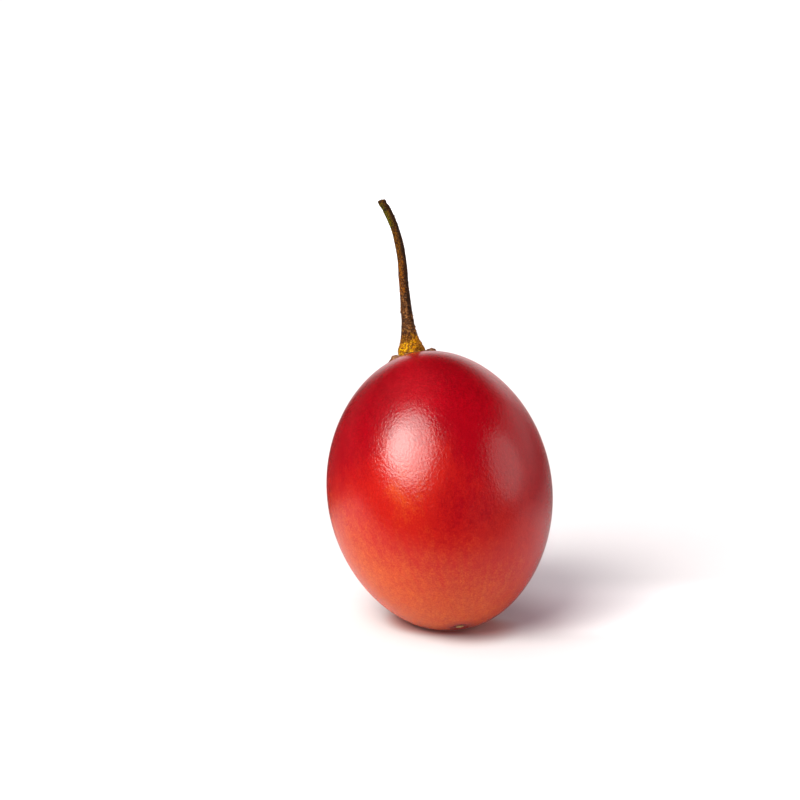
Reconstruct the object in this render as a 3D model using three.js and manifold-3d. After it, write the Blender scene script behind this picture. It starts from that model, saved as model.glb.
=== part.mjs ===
// A tamarillo as picked: an egg-shaped berry that stands on a small flat spot near its blossom end and
// leans back, with the five-lobed calyx on its stem end and the curved stalk that rises from the calyx.
// Millimetres, +Z up. The origin is the centre of the flat spot, and the fruit leans towards +Y.

import * as THREE from "three";
import { mergeVertices } from "three/addons/utils/BufferGeometryUtils.js";
import Module from "manifold-3d";

const { degToRad, lerp, smoothstep } = THREE.MathUtils;

// The berry.
const fruitWidth = 48;
const fruitLength = 61.2;
const endTaper = 0.048; // how much slimmer than an ellipse the berry is towards both ends
const poleRadius = ((fruitWidth / 2) * (1 - endTaper)) ** 2 / (fruitLength / 2); // the skin's curve there
const scarDepth = 0.35; // the dimple that the flower left, at the blossom end
const scarFloorRadius = 0.9;
const leanBack = degToRad(34.2);
const leanLeft = degToRad(7.7);
const flatDepth = 1.5; // how much of the berry is missing below, which sets the size of the flat spot
const fruitSides = 64;
const fruitRings = 44;

// The calyx, measured from the point of the skin that it is centred on.
const calyxShift = 1.6; // how far that point is to the left of the berry's pole
const clearGap = 0.3; // from the skin to the calyx, and from the calyx to the stalk
const calyxThickness = 0.35;
const calyxRadius = 5.7;
const calyxLobes = 5;
const lobeReach = 0.55; // how far each lobe's tip passes the mean radius
const lobeLift = 0.05; // how much higher the lobes' tips stand than the mean rim
const lobeTurn = degToRad(18); // the direction of the first lobe, from +X
const curlStart = 4.1; // the calyx lies along the skin up to here, under the stalk's foot
const curlHeight = 0.2; // how far the rim curls up off the skin
const calyxSides = 60;
const calyxRings = 12;

// The stalk, measured along its own line from the same point of the skin.
const stalkLength = 36.6;
const stalkTipRadius = 0.86;
const stalkSwell = { size: 0.9, fade: 11 }; // the slow thickening towards the calyx
const stalkFlare = { size: 3.3, fade: 2.6 }; // the sudden flare just above the calyx
const stalkKnuckle = { size: 0.16, start: 0.9 }; // the thickening at the cut end, by share of the length
const stalkFootRise = 0.2; // from the middle of the foot up to where the flare starts
const stalkTipDome = { height: 0.2, radius: 0.6 }; // the cut end, by height and by share of its radius
const stalkSides = 20;
const stalkRings = 44;
const stalkRingCrowding = 1.6; // above 1, the rings stand closer together in the flare
const stalkLine = new THREE.CatmullRomCurve3([
  new THREE.Vector3(0, 0, 0),
  new THREE.Vector3(0, 0, 1.8),
  new THREE.Vector3(0.75, -0.2, 7.6),
  new THREE.Vector3(2.05, -1, 17.2),
  new THREE.Vector3(2.8, -1.7, 23.6),
  new THREE.Vector3(2.7, -2.8, 30),
  new THREE.Vector3(1.4, -4.2, 36.6),
]);

const skin = new THREE.MeshStandardMaterial({ color: 0xc2202a, roughness: 0.3, metalness: 0 });
const driedLeaf = new THREE.MeshStandardMaterial({ color: 0x7a5a24, roughness: 0.75, metalness: 0 });
const bark = new THREE.MeshStandardMaterial({ color: 0x5c4322, roughness: 0.7, metalness: 0 });

// The berry's outline at an angle from its stem end: x is the distance from the axis, y is along the axis.
function fruitOutline(angle) {
  const along = Math.cos(angle);
  const across = Math.sin(angle) * (1 - endTaper * along * along);
  return new THREE.Vector2((fruitWidth / 2) * across, (fruitLength / 2) * along);
}

// How far the skin has dropped below the stem end's pole, at a distance from the axis.
function skinDrop(distance) {
  return poleRadius - Math.sqrt(poleRadius ** 2 - distance ** 2);
}

function withoutShading(geometry) {
  geometry.deleteAttribute("normal");
  geometry.deleteAttribute("uv");
  return mergeVertices(geometry, 1e-3);
}

// A closed shape turned about +Z from a profile that starts and ends on the axis.
function turned(profile, sides) {
  return withoutShading(new THREE.LatheGeometry(profile, sides).rotateX(Math.PI / 2));
}

// The same geometry with every vertex moved by a function of its place.
function reshaped(geometry, move) {
  const position = geometry.getAttribute("position");
  const point = new THREE.Vector3();
  for (let i = 0; i < position.count; i++) {
    move(point.fromBufferAttribute(position, i));
    position.setXYZ(i, point.x, point.y, point.z);
  }
  return geometry;
}

function mesh(name, geometry, material) {
  geometry.computeVertexNormals();
  const made = new THREE.Mesh(geometry, material);
  made.name = name;
  return made;
}

const wasm = await Module();
wasm.setup();

function solid(geometry) {
  return new wasm.Manifold(
    new wasm.Mesh({
      numProp: 3,
      vertProperties: geometry.getAttribute("position").array,
      triVerts: new Uint32Array(geometry.index.array),
    }),
  );
}

function surface(manifold) {
  const { vertProperties, triVerts } = manifold.getMesh();
  return new THREE.BufferGeometry()
    .setAttribute("position", new THREE.BufferAttribute(vertProperties, 3))
    .setIndex(new THREE.BufferAttribute(triVerts, 1));
}

// The whole berry about its own axis, blossom end down, with the flower's scar as a dimple.
function makeWholeFruit() {
  const profile = [];
  for (let ring = fruitRings; ring >= 0; ring--) {
    profile.push(fruitOutline((Math.PI * ring) / fruitRings));
  }
  const scarFloor = scarDepth - fruitLength / 2;
  profile[0].set(scarFloorRadius, scarFloor);
  profile.unshift(new THREE.Vector2(0, scarFloor));
  profile.at(-1).x = 0;
  return turned(profile, fruitSides);
}

// The calyx: a plate along the skin under the stalk's foot, and five rounded lobes that curl up around it.
function makeCalyx() {
  const under = [];
  const over = [];
  for (let ring = 0; ring <= calyxRings; ring++) {
    const distance = (calyxRadius * ring) / calyxRings;
    const curl = curlHeight * smoothstep(distance, curlStart, calyxRadius);
    const height = clearGap + curl - skinDrop(distance);
    under.push(new THREE.Vector2(distance, height));
    over.unshift(new THREE.Vector2(distance, height + calyxThickness));
  }
  const edgeHeight = (under.at(-1).y + over[0].y) / 2;
  const edge = new THREE.Vector2(calyxRadius + calyxThickness / 2, edgeHeight);
  const plate = turned([...under, edge, ...over], calyxSides);
  return reshaped(plate, (point) => {
    const distance = Math.hypot(point.x, point.y);
    const outward = smoothstep(distance, curlStart - lobeReach, calyxRadius);
    const lobe = outward * Math.cos(calyxLobes * (Math.atan2(point.y, point.x) - lobeTurn));
    const stretch = 1 + (lobeReach * lobe) / calyxRadius;
    point.set(point.x * stretch, point.y * stretch, point.z + lobeLift * lobe);
  });
}

function stalkRadius(along) {
  const swell = stalkSwell.size * Math.exp(-along / stalkSwell.fade);
  const flare = stalkFlare.size * Math.exp(-along / stalkFlare.fade);
  const knuckle = stalkKnuckle.size * smoothstep(along / stalkLength, stalkKnuckle.start, 1);
  return stalkTipRadius + swell + flare + knuckle;
}

// The stalk: turned straight, with a dished foot that sits on the calyx, then bent along its line.
function makeStalk() {
  const footMiddle = clearGap + calyxThickness + clearGap;
  const footRadius = stalkRadius(footMiddle + stalkFootRise);
  const profile = [new THREE.Vector2(0, footMiddle)];
  for (const distance of [footRadius / 3, (footRadius * 2) / 3, footRadius]) {
    profile.push(new THREE.Vector2(distance, footMiddle - skinDrop(distance)));
  }
  for (let ring = 0; ring <= stalkRings; ring++) {
    const share = (ring / stalkRings) ** stalkRingCrowding;
    const along = lerp(footMiddle + stalkFootRise, stalkLength, share);
    profile.push(new THREE.Vector2(stalkRadius(along), along));
  }
  const top = stalkLength + stalkTipDome.height;
  profile.push(new THREE.Vector2(stalkTipRadius * stalkTipDome.radius, top));
  profile.push(new THREE.Vector2(0, top));

  const lineLength = stalkLine.getLength();
  const side = new THREE.Vector3(1, 0, 0);
  return reshaped(turned(profile, stalkSides), (point) => {
    const share = Math.min(Math.max(point.z / lineLength, 0), 1);
    const beyond = point.z - share * lineLength;
    const forward = stalkLine.getTangentAt(share);
    const back = forward.clone().cross(side).normalize();
    const right = back.clone().cross(forward);
    const { x, y } = point;
    point
      .copy(stalkLine.getPointAt(share))
      .addScaledVector(right, x)
      .addScaledVector(back, y)
      .addScaledVector(forward, beyond);
  });
}

// The berry leans, sinks below the ground by the depth of its flat spot, and is cut off level there.
const lean = new THREE.Matrix4().makeRotationX(-leanBack);
lean.multiply(new THREE.Matrix4().makeRotationY(-leanLeft));
const wholeFruit = makeWholeFruit().applyMatrix4(lean);
wholeFruit.computeBoundingBox();
const middleHeight = -wholeFruit.boundingBox.min.z - flatDepth;
wholeFruit.translate(0, 0, middleHeight);
const ground = withoutShading(new THREE.BoxGeometry(2 * fruitWidth, 2 * fruitWidth, fruitWidth));
ground.translate(0, 0, -fruitWidth / 2);
const fruitGeometry = surface(solid(wholeFruit).subtract(solid(ground)));

// The flat spot's middle is the origin.
const flatSpot = new THREE.Box3();
const places = fruitGeometry.getAttribute("position");
for (let i = 0; i < places.count; i++) {
  if (places.getZ(i) === 0) flatSpot.expandByPoint(new THREE.Vector3().fromBufferAttribute(places, i));
}
const toOrigin = flatSpot.getCenter(new THREE.Vector3()).negate();
fruitGeometry.translate(toOrigin.x, toOrigin.y, 0);

// The calyx and the stalk stand square on the skin, a little to the left of the pole.
const crown = new THREE.Group();
crown.add(mesh("calyx", makeCalyx(), driedLeaf), mesh("stalk", makeStalk(), bark));
crown.position.z = poleRadius;
const crownTilt = new THREE.Group();
crownTilt.add(crown);
crownTilt.rotation.y = -calyxShift / poleRadius;
crownTilt.position.z = fruitLength / 2 - poleRadius;
const leaning = new THREE.Group();
leaning.add(crownTilt);
leaning.quaternion.setFromRotationMatrix(lean);
leaning.position.set(toOrigin.x, toOrigin.y, middleHeight);

const tamarillo = new THREE.Group();
tamarillo.add(mesh("fruit", fruitGeometry, skin), leaning);

export default tamarillo;
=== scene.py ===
"""A tamarillo as picked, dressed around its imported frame: waxy skin, dried calyx and woody stalk.

Metres, +Z up. The berry stands on its flat spot at the origin and leans back towards +Y. Its own axis
runs from the blossom end, low at the front, to the stem end, which carries the calyx and the stalk.
"""

import logging
import math
from dataclasses import dataclass
from enum import Enum
from functools import cached_property
from typing import Any, Callable, Union

import bmesh
import bpy
from mathutils import Euler, Matrix, Vector, noise


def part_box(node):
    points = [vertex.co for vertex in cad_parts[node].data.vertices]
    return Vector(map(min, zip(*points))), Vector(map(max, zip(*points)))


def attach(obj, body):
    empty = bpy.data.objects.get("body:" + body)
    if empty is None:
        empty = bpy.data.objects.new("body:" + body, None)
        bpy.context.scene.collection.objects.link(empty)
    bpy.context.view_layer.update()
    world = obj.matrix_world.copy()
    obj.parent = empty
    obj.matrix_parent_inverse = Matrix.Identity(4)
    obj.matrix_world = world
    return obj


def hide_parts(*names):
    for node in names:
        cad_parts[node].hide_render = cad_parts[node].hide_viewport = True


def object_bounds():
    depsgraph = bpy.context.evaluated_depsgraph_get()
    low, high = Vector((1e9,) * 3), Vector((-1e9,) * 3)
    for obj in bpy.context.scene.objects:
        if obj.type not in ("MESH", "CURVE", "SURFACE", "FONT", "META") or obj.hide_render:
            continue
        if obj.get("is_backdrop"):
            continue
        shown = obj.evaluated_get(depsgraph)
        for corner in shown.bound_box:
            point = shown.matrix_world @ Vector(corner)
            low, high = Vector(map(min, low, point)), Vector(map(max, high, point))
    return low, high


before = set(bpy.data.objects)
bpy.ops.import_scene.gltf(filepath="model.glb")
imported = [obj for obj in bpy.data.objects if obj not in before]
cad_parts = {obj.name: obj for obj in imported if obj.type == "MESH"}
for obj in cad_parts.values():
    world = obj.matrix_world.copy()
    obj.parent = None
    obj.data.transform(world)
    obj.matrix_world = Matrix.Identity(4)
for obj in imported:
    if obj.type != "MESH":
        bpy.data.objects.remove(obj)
cad_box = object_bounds()

MM = 0.001
log = logging.getLogger("tamarillo")

Colour = tuple[float, float, float]
Span = tuple[float, float]
Number = Union["Value", float]
Place = Callable[[float, float], Vector]


class Slot(Enum):
    """The record's material slots."""

    SKIN = "skin"
    DRIED_LEAF = "dried_leaf"
    BARK = "bark"


class Mark(Enum):
    """The numbers that a mesh's points carry for its finish."""

    SHARE = "share"
    ALONG = "along"
    AROUND = "around"
    SIDE = "side"


@dataclass(frozen=True)
class Layer:
    """A layer of cloudy noise.

    Attributes:
        scale: how fine it is.
        detail: how many finer layers it holds.
        rough: how strong those are.
    """

    scale: float
    detail: float
    rough: float = 0.5


class Value:
    """A number in a node tree. Python's operators on it add the Math nodes."""

    def __init__(self, tree: "Tree", socket: bpy.types.NodeSocket) -> None:
        """Wraps one output socket of a tree."""
        self.tree = tree
        self.socket = socket

    def __add__(self, other: Number) -> "Value":
        """self + other."""
        return self.tree.math("ADD", self, other)

    def __sub__(self, other: Number) -> "Value":
        """self - other."""
        return self.tree.math("SUBTRACT", self, other)

    def __rsub__(self, other: Number) -> "Value":
        """other - self."""
        return self.tree.math("SUBTRACT", other, self)

    def __mul__(self, other: Number) -> "Value":
        """self * other."""
        return self.tree.math("MULTIPLY", self, other)

    def __truediv__(self, other: Number) -> "Value":
        """self / other."""
        return self.tree.math("DIVIDE", self, other)

    def __rtruediv__(self, other: Number) -> "Value":
        """other / self."""
        return self.tree.math("DIVIDE", other, self)

    def __neg__(self) -> "Value":
        """-self."""
        return self.tree.math("MULTIPLY", self, -1.0)

    __radd__ = __add__
    __rmul__ = __mul__

    def rise(self, low: float, high: float) -> "Value":
        """Goes smoothly from 0 to 1.

        Args:
            low: where it is 0.
            high: where it is 1, which may lie below low.

        Returns:
            The share of the way.
        """
        ramp = self.tree.node(
            "ShaderNodeMapRange",
            {"interpolation_type": "SMOOTHSTEP"},
            {"Value": self, "From Min": low, "From Max": high},
        )
        return Value(self.tree, ramp.outputs["Result"])

    def peak(self, middle: float, width: float) -> "Value":
        """A smooth bump of height 1 where self is middle, gone at width to either side."""
        return 1.0 - self.tree.math("ABSOLUTE", self - middle).rise(0.0, width)


class Tree:
    """A node tree that grows one node at a time."""

    def __init__(self, nodes: bpy.types.NodeTree) -> None:
        """Starts on an empty or emptied tree."""
        self.nodes = nodes
        nodes.nodes.clear()

    def node(
        self,
        kind: str,
        settings: dict[str, Any] | None = None,
        inputs: dict[int | str, Any] | None = None,
    ) -> bpy.types.Node:
        """Adds a node.

        Args:
            kind: the node's type.
            settings: the node's own settings, which are set first.
            inputs: the value or the link of each socket, by its name or its place.

        Returns:
            The new node.
        """
        made = self.nodes.nodes.new(kind)
        for name, setting in (settings or {}).items():
            setattr(made, name, setting)
        for key, given in (inputs or {}).items():
            given = given.socket if isinstance(given, Value) else given
            if isinstance(given, bpy.types.NodeSocket):
                self.nodes.links.new(given, made.inputs[key])
            else:
                made.inputs[key].default_value = given
        return made

    def math(self, operation: str, *terms: Number) -> Value:
        """Adds one Math node on the terms."""
        made = self.node("ShaderNodeMath", {"operation": operation}, dict(enumerate(terms)))
        return Value(self, made.outputs[0])

    def vector(self, x: Number, y: Number, z: Number) -> bpy.types.NodeSocket:
        """Joins three numbers into a vector."""
        return self.node("ShaderNodeCombineXYZ", inputs={0: x, 1: y, 2: z}).outputs[0]

    def parts(self, vector: bpy.types.NodeSocket) -> tuple[Value, Value, Value]:
        """Splits a vector into its three numbers."""
        split = self.node("ShaderNodeSeparateXYZ", inputs={0: vector})
        return tuple(Value(self, part) for part in split.outputs)

    def vector_math(self, operation: str, *terms: Any) -> bpy.types.NodeSocket:
        """Adds one Vector Math node on the terms."""
        made = self.node("ShaderNodeVectorMath", {"operation": operation}, dict(enumerate(terms)))
        return made.outputs[0]

    def measure(self, operation: str, *terms: Any) -> Value:
        """Adds one Vector Math node whose result is a number, such as a length."""
        made = self.node("ShaderNodeVectorMath", {"operation": operation}, dict(enumerate(terms)))
        return Value(self, made.outputs["Value"])

    def root(self, value: Number) -> Value:
        """The square root."""
        return self.math("SQRT", value)

    def larger(self, first: Number, second: Number) -> Value:
        """The larger of two numbers."""
        return self.math("MAXIMUM", first, second)

    def fade(self, steps: Value) -> Value:
        """Falls from 1 where steps is 0, by the same share for each further step."""
        return self.math("EXPONENT", -steps)

    def scaled(self, vector: bpy.types.NodeSocket | Colour, factor: Number) -> bpy.types.NodeSocket:
        """Multiplies a vector by a number."""
        made = self.node("ShaderNodeVectorMath", {"operation": "SCALE"}, {"Vector": vector, "Scale": factor})
        return made.outputs[0]

    def noise(self, where: bpy.types.NodeSocket, layer: Layer) -> Value:
        """Cloudy noise between about 0 and 1."""
        inputs = {"Vector": where, "Scale": layer.scale, "Detail": layer.detail, "Roughness": layer.rough}
        return Value(self, self.node("ShaderNodeTexNoise", inputs=inputs).outputs[0])

    def swing(self, where: bpy.types.NodeSocket, layer: Layer) -> Value:
        """Cloudy noise between about -0.5 and 0.5."""
        return self.noise(where, layer) - 0.5

    def place(self) -> bpy.types.NodeSocket:
        """Object coordinates, for a material."""
        return self.node("ShaderNodeTexCoord").outputs["Object"]

    def carried(self, mark: Mark) -> Value:
        """The number that the mesh carries, for a material."""
        return Value(self, self.node("ShaderNodeAttribute", {"attribute_name": mark.value}).outputs["Fac"])

    def bump(self, height: Value, depth: float, strength: float) -> bpy.types.NodeSocket:
        """Gives the normals of a surface with this relief."""
        inputs = {"Strength": strength, "Distance": depth, "Height": height}
        return self.node("ShaderNodeBump", inputs=inputs).outputs[0]

    def surface(self, inputs: dict[str, Any]) -> None:
        """Ends a material in a Principled shader with these inputs."""
        shader = self.node("ShaderNodeBsdfPrincipled", inputs=inputs)
        self.node("ShaderNodeOutputMaterial", inputs={"Surface": shader.outputs[0]})

    def colour_mix(self, share: Number, first: Any, second: Any) -> bpy.types.NodeSocket:
        """Mixes two colours.

        Args:
            share: how much of the second there is.
            first: a colour, or the link of one.
            second: the same.

        Returns:
            The mixed colour.
        """
        first, second = ((*c, 1.0) if isinstance(c, tuple) else c for c in (first, second))
        made = self.node("ShaderNodeMix", {"data_type": "RGBA"}, {0: share, 6: first, 7: second})
        return made.outputs[2]


class Growth:
    """A Geometry Nodes modifier's tree, with named inputs, which is run once and leaves a plain mesh."""

    def __init__(self, name: str) -> None:
        """Starts an empty tree that hands on no geometry yet.

        Args:
            name: the tree's name.
        """
        self.group = bpy.data.node_groups.new(name, "GeometryNodeTree")
        self.tree = Tree(self.group)
        self.given: dict[str, Any] = {}
        self.group.interface.new_socket("Geometry", in_out="INPUT", socket_type="NodeSocketGeometry")
        self.group.interface.new_socket("Geometry", in_out="OUTPUT", socket_type="NodeSocketGeometry")
        self.entry = self.tree.node("NodeGroupInput")

    def size(self, name: str, value: float | int | Vector) -> Any:
        """Adds a named input to the tree.

        Args:
            name: what the input is called.
            value: the number, whole number or vector that the modifier gives it.

        Returns:
            A Value for a number, or the socket of a vector.
        """
        kinds = {float: "NodeSocketFloat", int: "NodeSocketInt", Vector: "NodeSocketVector"}
        added = self.group.interface.new_socket(name, in_out="INPUT", socket_type=kinds[type(value)])
        self.given[added.identifier] = value
        socket = self.entry.outputs[name]
        return socket if isinstance(value, Vector) else Value(self.tree, socket)

    def sizes(self, owner: object, *fields: str) -> tuple[Any, ...]:
        """Adds an input for each of an owner's fields, named after it.

        Args:
            owner: what holds the sizes.
            fields: the fields' names.

        Returns:
            The inputs, in the same order.
        """
        named = ((field.replace("_", " ").capitalize(), getattr(owner, field)) for field in fields)
        return tuple(self.size(name, value) for name, value in named)

    def carried(self, mark: Mark) -> Value:
        """The number that the mesh carries."""
        kind, settings = "GeometryNodeInputNamedAttribute", {"data_type": "FLOAT"}
        return Value(self.tree, self.tree.node(kind, settings, {"Name": mark.value}).outputs[0])

    def carry(self, geometry: bpy.types.NodeSocket, mark: Mark, value: Value) -> bpy.types.NodeSocket:
        """Has a geometry's points carry a number.

        Args:
            geometry: the geometry.
            mark: what the number is called.
            value: the number.

        Returns:
            The geometry that carries it.
        """
        return self.tree.node(
            "GeometryNodeStoreNamedAttribute",
            {"data_type": "FLOAT", "domain": "POINT"},
            {"Geometry": geometry, "Name": mark.value, "Value": value},
        ).outputs[0]

    def finish(self, geometry: bpy.types.NodeSocket, material: bpy.types.Material) -> None:
        """Ends the tree: instances made real, shaded smooth, in their material.

        Args:
            geometry: what the tree has made.
            material: what it is dressed in.
        """
        node = self.tree.node
        real = node("GeometryNodeRealizeInstances", inputs={"Geometry": geometry})
        smooth = node("GeometryNodeSetShadeSmooth", inputs={0: real.outputs[0]})
        inputs = {"Geometry": smooth.outputs[0], "Material": material}
        dressed = node("GeometryNodeSetMaterial", inputs=inputs)
        node("NodeGroupOutput", inputs={0: dressed.outputs[0]})

    def run(self, name: str, start: bpy.types.Mesh | None = None) -> bpy.types.Object:
        """Runs the tree on a mesh and keeps the result as a plain mesh.

        Args:
            name: the piece's name.
            start: the mesh that the tree is given, or none where it starts by itself.

        Returns:
            The piece, at the origin, with no modifier left.
        """
        piece = new_piece(name, start or bpy.data.meshes.new(name))
        modifier = piece.modifiers.new(name, "NODES")
        modifier.node_group = self.group
        for identifier, value in self.given.items():
            modifier[identifier] = value
        evaluated = piece.evaluated_get(bpy.context.evaluated_depsgraph_get())
        grown = bpy.data.meshes.new_from_object(evaluated)
        piece.modifiers.clear()
        piece.data = grown
        grown.name = name
        return piece


def new_piece(name: str, mesh: bpy.types.Mesh) -> bpy.types.Object:
    """Links a new object for a mesh, at the origin.

    Args:
        name: the object's name.
        mesh: its mesh.

    Returns:
        The object.
    """
    piece = bpy.data.objects.new(name, mesh)
    bpy.context.scene.collection.objects.link(piece)
    return piece


def closed_skin(name: str, sides: int, rings: int, place: Place) -> bpy.types.Mesh:
    """Makes a closed mesh from rings of points round an axis, with a pole at either end.

    Args:
        name: the mesh's name.
        sides: how many points each ring has.
        rings: how many rings lie between the poles.
        place: gives the point for a share of the way from pole to pole and an angle round the axis.

    Returns:
        The mesh, whose points carry their share of the way.
    """
    shares = [0.0, *(row / (rings + 1) for row in range(1, rings + 1) for _ in range(sides)), 1.0]
    points = [place(0.0, 0.0)]
    for row in range(1, rings + 1):
        points += [place(row / (rings + 1), math.tau * side / sides) for side in range(sides)]
    points.append(place(1.0, 0.0))
    last = len(points) - 1
    faces: list[tuple[int, ...]] = []
    for side in range(sides):
        after = (side + 1) % sides
        faces.append((0, 1 + side, 1 + after))
        for row in range(rings - 1):
            low, high = 1 + row * sides, 1 + (row + 1) * sides
            faces.append((low + side, high + side, high + after, low + after))
        top = 1 + (rings - 1) * sides
        faces.append((top + side, last, top + after))
    mesh = bpy.data.meshes.new(name)
    mesh.from_pydata(points, [], faces)
    mesh.attributes.new(Mark.SHARE.value, "FLOAT", "POINT").data.foreach_set("value", shares)
    sorted_out = bmesh.new()
    sorted_out.from_mesh(mesh)
    bmesh.ops.recalc_face_normals(sorted_out, faces=sorted_out.faces)
    sorted_out.to_mesh(mesh)
    sorted_out.free()
    mesh.shade_smooth()
    return mesh


def keep(piece: bpy.types.Object, slot: Slot, *nodes: str) -> None:
    """Hands a finished piece to the frame.

    Args:
        piece: the finished piece.
        slot: the record's slot that its finish belongs to; not used.
        nodes: the CAD nodes that it stands for, if any.
    """
    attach(piece, "root")
    if nodes:
        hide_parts(*nodes)
    log.info("%s: %d faces", piece.name, len(piece.data.polygons))


def new_material(name: str) -> tuple[bpy.types.Material, Tree]:
    """Makes a material.

    Args:
        name: the material's name.

    Returns:
        The material, and the emptied tree that it is written in.
    """
    material = bpy.data.materials.new(name)
    material.use_nodes = True
    return material, Tree(material.node_tree)


def weighted(weights: tuple[float, ...], *layers: Value) -> Value:
    """Adds up layers, each times its weight."""
    first, *others = (weight * layer for weight, layer in zip(weights, layers))
    return sum(others, first)


def smoothstep(value: float, low: float, high: float) -> float:
    """Goes smoothly from 0 where value is low to 1 where it is high."""
    share = min(max((value - low) / (high - low), 0.0), 1.0)
    return share * share * (3.0 - 2.0 * share)


@dataclass(frozen=True)
class BerryForm:
    """The berry's form: an ellipse turned about its axis, a little slimmer towards both ends.

    Attributes:
        width: across the middle.
        length: from end to end.
        end_taper: how much slimmer than an ellipse it is towards both ends.
        lean_back: how far the stem end leans towards +Y.
        lean_left: how far the stem end leans towards -X.
        crown_shift: how far left of the pole the calyx is centred.
        outline_steps: how many points of the outline its height is found from.
    """

    width: float = 48 * MM
    length: float = 61.2 * MM
    end_taper: float = 0.048
    lean_back: float = math.radians(34.2)
    lean_left: float = math.radians(7.7)
    crown_shift: float = 1.6 * MM
    outline_steps: int = 720

    @property
    def half_width(self) -> float:
        """Half the width."""
        return self.width / 2

    @property
    def half_length(self) -> float:
        """Half the length."""
        return self.length / 2

    @cached_property
    def pole_radius(self) -> float:
        """The radius of the skin's curve at either pole."""
        return (self.half_width * (1 - self.end_taper)) ** 2 / self.half_length

    @cached_property
    def lean(self) -> Matrix:
        """The turn from the berry's own axes to the frame's."""
        return Matrix.Rotation(-self.lean_back, 4, "X") @ Matrix.Rotation(-self.lean_left, 4, "Y")

    @cached_property
    def centre(self) -> Vector:
        """The middle of the whole berry.

        Returns:
            The point, found from the sides and the top of the berry's CAD node.
        """
        low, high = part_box("fruit")
        upright = self.lean.col[2].z
        tilted = math.sqrt(1 - upright**2)
        tallest = 0.0
        for step in range(self.outline_steps):
            angle = math.pi * step / self.outline_steps
            across = math.sin(angle) * (1 - self.end_taper * math.cos(angle) ** 2)
            height = self.half_length * math.cos(angle) * upright + self.half_width * across * tilted
            tallest = max(tallest, height)
        return Vector(((low.x + high.x) / 2, (low.y + high.y) / 2, high.z - tallest))

    @cached_property
    def crown(self) -> Matrix:
        """The place of the calyx and the stalk.

        Returns:
            The place: on the skin, with +Z straight out of it.
        """
        out = Matrix.Translation((0, 0, self.pole_radius))
        down = Matrix.Translation((0, 0, self.half_length - self.pole_radius))
        tilt = Matrix.Rotation(-self.crown_shift / self.pole_radius, 4, "Y")
        return Matrix.Translation(self.centre) @ self.lean @ down @ tilt @ out

    def skin_drop(self, distance: float) -> float:
        """How far the skin has dropped below the crown's own level, at a distance from its middle."""
        return self.pole_radius - math.sqrt(self.pole_radius**2 - distance**2)


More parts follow.
